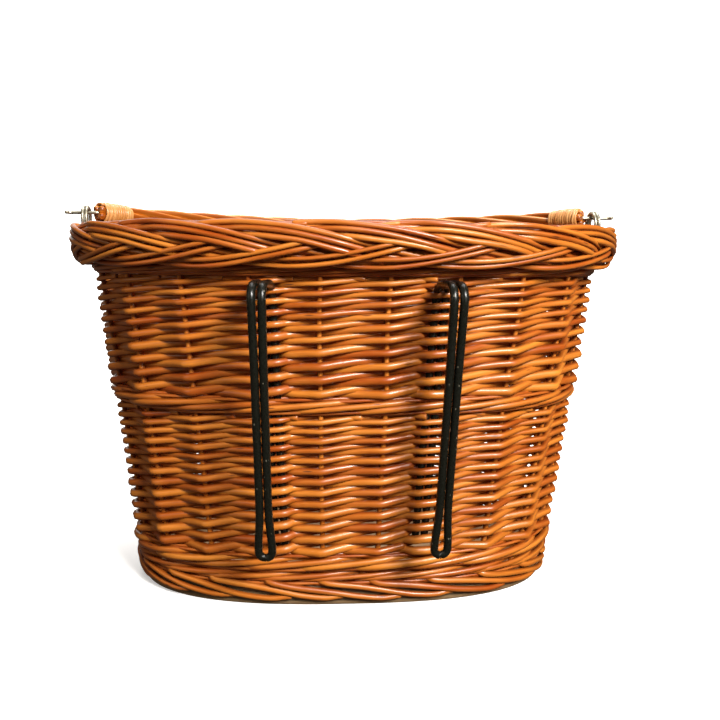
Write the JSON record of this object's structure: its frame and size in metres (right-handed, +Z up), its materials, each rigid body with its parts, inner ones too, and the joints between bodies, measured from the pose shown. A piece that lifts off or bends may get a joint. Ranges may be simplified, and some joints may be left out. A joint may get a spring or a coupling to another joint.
{
  "type": "handlebar basket",
  "caption": "Oval woven willow handlebar basket with a plywood base, plaited rim, black wire bar hooks and a folding bow handle.",
  "frame": {"origin": "the middle of the board's underside, where the basket stands on a table", "axes": "+Z up; X along the oval's long axis; -Y is the side with the bar hooks, so +Y points away from the rider"},
  "size_m": [0.4242, 0.3408, 0.2806],
  "materials": {
    "varnished_willow": "glossy varnish",
    "handle_willow": "glossy varnish",
    "pale_cane": "satin",
    "base_plywood": "matt",
    "black_coat": "satin black plastic coat on steel wire",
    "zinc_wire": "zinc plated"
  },
  "bodies": {
    "basket": {"base_board": "base_plywood", "stake_01": "varnished_willow", "stake_02": "varnished_willow", "stake_03": "varnished_willow", "stake_04": "varnished_willow", "stake_05": "varnished_willow", "stake_06": "varnished_willow", "stake_07": "varnished_willow", "stake_08": "varnished_willow", "stake_09": "varnished_willow", "stake_10": "varnished_willow", "stake_11": "varnished_willow", "stake_12": "varnished_willow", "stake_13": "varnished_willow", "stake_14": "varnished_willow", "stake_15": "varnished_willow", "stake_16": "varnished_willow", "stake_17": "varnished_willow", "stake_18": "varnished_willow", "stake_19": "varnished_willow", "stake_20": "varnished_willow", "stake_21": "varnished_willow", "stake_22": "varnished_willow", "stake_23": "varnished_willow", "stake_24": "varnished_willow", "foot_border": "varnished_willow", "foot_wale": "varnished_willow", "lower_siding": "varnished_willow", "mid_wale": "varnished_willow", "upper_siding": "varnished_willow", "top_wale": "varnished_willow", "rim_border": "varnished_willow", "left_hook": "black_coat", "right_hook": "black_coat", "left_ring": "zinc_wire", "right_ring": "zinc_wire"},
    "handle": {"handle_rod_1": "handle_willow", "handle_rod_2": "handle_willow", "handle_rod_3": "handle_willow", "handle_rod_4": "handle_willow", "left_binding": "pale_cane", "right_binding": "pale_cane", "left_pin": "zinc_wire", "right_pin": "zinc_wire"}
  },
  "joints": [
    {"name": "handle_swing", "type": "hinge", "parent": "basket", "child": "handle", "pos_m": [0, 0, 0.2725], "axis": [1, 0, 0], "range_deg": [0, 182]}
  ]
}
